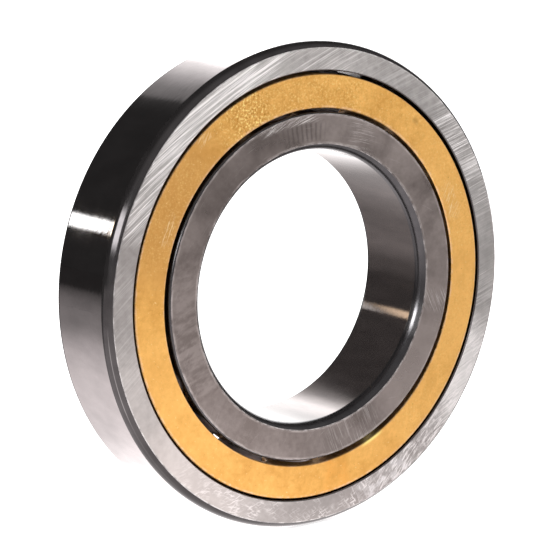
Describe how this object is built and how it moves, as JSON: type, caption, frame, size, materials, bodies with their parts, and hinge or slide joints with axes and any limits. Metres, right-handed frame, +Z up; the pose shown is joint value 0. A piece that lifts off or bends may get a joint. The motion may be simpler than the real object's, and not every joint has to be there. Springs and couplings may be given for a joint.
{
  "type": "angular contact ball bearing",
  "caption": "Open single-row ball bearing: thick ground steel rings around a wide one-piece brass cage, balls in drilled pockets, plain bore for a shaft.",
  "frame": {"origin": "centre of the bearing: on its axis, half way through its width", "axes": "+Y along the bearing's axis, into the closed back; the open side faces -Y; +Z up, with the bearing standing on its rim"},
  "size_m": [0.16, 0.03, 0.16],
  "materials": {
    "ring_steel": "ground and honed",
    "ball_steel": "lapped, mirror bright",
    "cage_brass": "turned, satin"
  },
  "bodies": {
    "outer_ring": {"outer_ring": "ring_steel"},
    "inner_ring": {"inner_ring": "ring_steel"},
    "cage": {"cage": "cage_brass"},
    "ball_01": {"ball_01": "ball_steel"},
    "ball_02": {"ball_02": "ball_steel"},
    "ball_03": {"ball_03": "ball_steel"},
    "ball_04": {"ball_04": "ball_steel"},
    "ball_05": {"ball_05": "ball_steel"},
    "ball_06": {"ball_06": "ball_steel"},
    "ball_07": {"ball_07": "ball_steel"},
    "ball_08": {"ball_08": "ball_steel"},
    "ball_09": {"ball_09": "ball_steel"},
    "ball_10": {"ball_10": "ball_steel"},
    "ball_11": {"ball_11": "ball_steel"},
    "ball_12": {"ball_12": "ball_steel"},
    "ball_13": {"ball_13": "ball_steel"},
    "ball_14": {"ball_14": "ball_steel"},
    "ball_15": {"ball_15": "ball_steel"},
    "ball_16": {"ball_16": "ball_steel"},
    "ball_17": {"ball_17": "ball_steel"}
  },
  "joints": [
    {"name": "inner_ring_spin", "type": "hinge", "parent": "outer_ring", "child": "inner_ring", "pos_m": [0, 0, 0], "axis": [0, 1, 0], "continuous": true},
    {"name": "cage_spin", "type": "hinge", "parent": "outer_ring", "child": "cage", "pos_m": [0, 0, 0], "axis": [0, 1, 0], "continuous": true},
    {"name": "ball_01_spin", "type": "hinge", "parent": "cage", "child": "ball_01", "pos_m": [0.06008, 0, 0.01723], "axis": [-0.4062, 0.9063, -0.1165], "continuous": true},
    {"name": "ball_02_spin", "type": "hinge", "parent": "cage", "child": "ball_02", "pos_m": [0.0498, 0, 0.03777], "axis": [-0.3367, 0.9063, -0.2554], "continuous": true},
    {"name": "ball_03_spin", "type": "hinge", "parent": "cage", "child": "ball_03", "pos_m": [0.03279, 0, 0.05321], "axis": [-0.2217, 0.9063, -0.3598], "continuous": true},
    {"name": "ball_04_spin", "type": "hinge", "parent": "cage", "child": "ball_04", "pos_m": [0.01136, 0, 0.06146], "axis": [-0.0768, 0.9063, -0.4156], "continuous": true},
    {"name": "ball_05_spin", "type": "hinge", "parent": "cage", "child": "ball_05", "pos_m": [-0.01161, 0, 0.06141], "axis": [0.0785, 0.9063, -0.4153], "continuous": true},
    {"name": "ball_06_spin", "type": "hinge", "parent": "cage", "child": "ball_06", "pos_m": [-0.03301, 0, 0.05307], "axis": [0.2232, 0.9063, -0.3589], "continuous": true},
    {"name": "ball_07_spin", "type": "hinge", "parent": "cage", "child": "ball_07", "pos_m": [-0.04995, 0, 0.03756], "axis": [0.3378, 0.9063, -0.254], "continuous": true},
    {"name": "ball_08_spin", "type": "hinge", "parent": "cage", "child": "ball_08", "pos_m": [-0.06015, 0, 0.01698], "axis": [0.4067, 0.9063, -0.1148], "continuous": true},
    {"name": "ball_09_spin", "type": "hinge", "parent": "cage", "child": "ball_09", "pos_m": [-0.06222, 0, -0.00589], "axis": [0.4207, 0.9063, 0.0399], "continuous": true},
    {"name": "ball_10_spin", "type": "hinge", "parent": "cage", "child": "ball_10", "pos_m": [-0.05589, 0, -0.02797], "axis": [0.3779, 0.9063, 0.1892], "continuous": true},
    {"name": "ball_11_spin", "type": "hinge", "parent": "cage", "child": "ball_11", "pos_m": [-0.04201, 0, -0.04627], "axis": [0.2841, 0.9063, 0.3129], "continuous": true},
    {"name": "ball_12_spin", "type": "hinge", "parent": "cage", "child": "ball_12", "pos_m": [-0.02246, 0, -0.05833], "axis": [0.1519, 0.9063, 0.3944], "continuous": true},
    {"name": "ball_13_spin", "type": "hinge", "parent": "cage", "child": "ball_13", "pos_m": [0.00013, 0, -0.0625], "axis": [-0.0009, 0.9063, 0.4226], "continuous": true},
    {"name": "ball_14_spin", "type": "hinge", "parent": "cage", "child": "ball_14", "pos_m": [0.0227, 0, -0.05823], "axis": [-0.1535, 0.9063, 0.3938], "continuous": true},
    {"name": "ball_15_spin", "type": "hinge", "parent": "cage", "child": "ball_15", "pos_m": [0.0422, 0, -0.0461], "axis": [-0.2854, 0.9063, 0.3117], "continuous": true},
    {"name": "ball_16_spin", "type": "hinge", "parent": "cage", "child": "ball_16", "pos_m": [0.056, 0, -0.02774], "axis": [-0.3787, 0.9063, 0.1876], "continuous": true},
    {"name": "ball_17_spin", "type": "hinge", "parent": "cage", "child": "ball_17", "pos_m": [0.06225, 0, -0.00564], "axis": [-0.4209, 0.9063, 0.0381], "continuous": true}
  ],
  "couplings": [
    {"joint": "cage_spin", "follows": "inner_ring_spin", "ratio": 0.43094},
    {"joint": "ball_01_spin", "follows": "inner_ring_spin", "ratio": -3.2182},
    {"joint": "ball_02_spin", "follows": "inner_ring_spin", "ratio": -3.2182},
    {"joint": "ball_03_spin", "follows": "inner_ring_spin", "ratio": -3.2182},
    {"joint": "ball_04_spin", "follows": "inner_ring_spin", "ratio": -3.2182},
    {"joint": "ball_05_spin", "follows": "inner_ring_spin", "ratio": -3.2182},
    {"joint": "ball_06_spin", "follows": "inner_ring_spin", "ratio": -3.2182},
    {"joint": "ball_07_spin", "follows": "inner_ring_spin", "ratio": -3.2182},
    {"joint": "ball_08_spin", "follows": "inner_ring_spin", "ratio": -3.2182},
    {"joint": "ball_09_spin", "follows": "inner_ring_spin", "ratio": -3.2182},
    {"joint": "ball_10_spin", "follows": "inner_ring_spin", "ratio": -3.2182},
    {"joint": "ball_11_spin", "follows": "inner_ring_spin", "ratio": -3.2182},
    {"joint": "ball_12_spin", "follows": "inner_ring_spin", "ratio": -3.2182},
    {"joint": "ball_13_spin", "follows": "inner_ring_spin", "ratio": -3.2182},
    {"joint": "ball_14_spin", "follows": "inner_ring_spin", "ratio": -3.2182},
    {"joint": "ball_15_spin", "follows": "inner_ring_spin", "ratio": -3.2182},
    {"joint": "ball_16_spin", "follows": "inner_ring_spin", "ratio": -3.2182},
    {"joint": "ball_17_spin", "follows": "inner_ring_spin", "ratio": -3.2182}
  ]
}
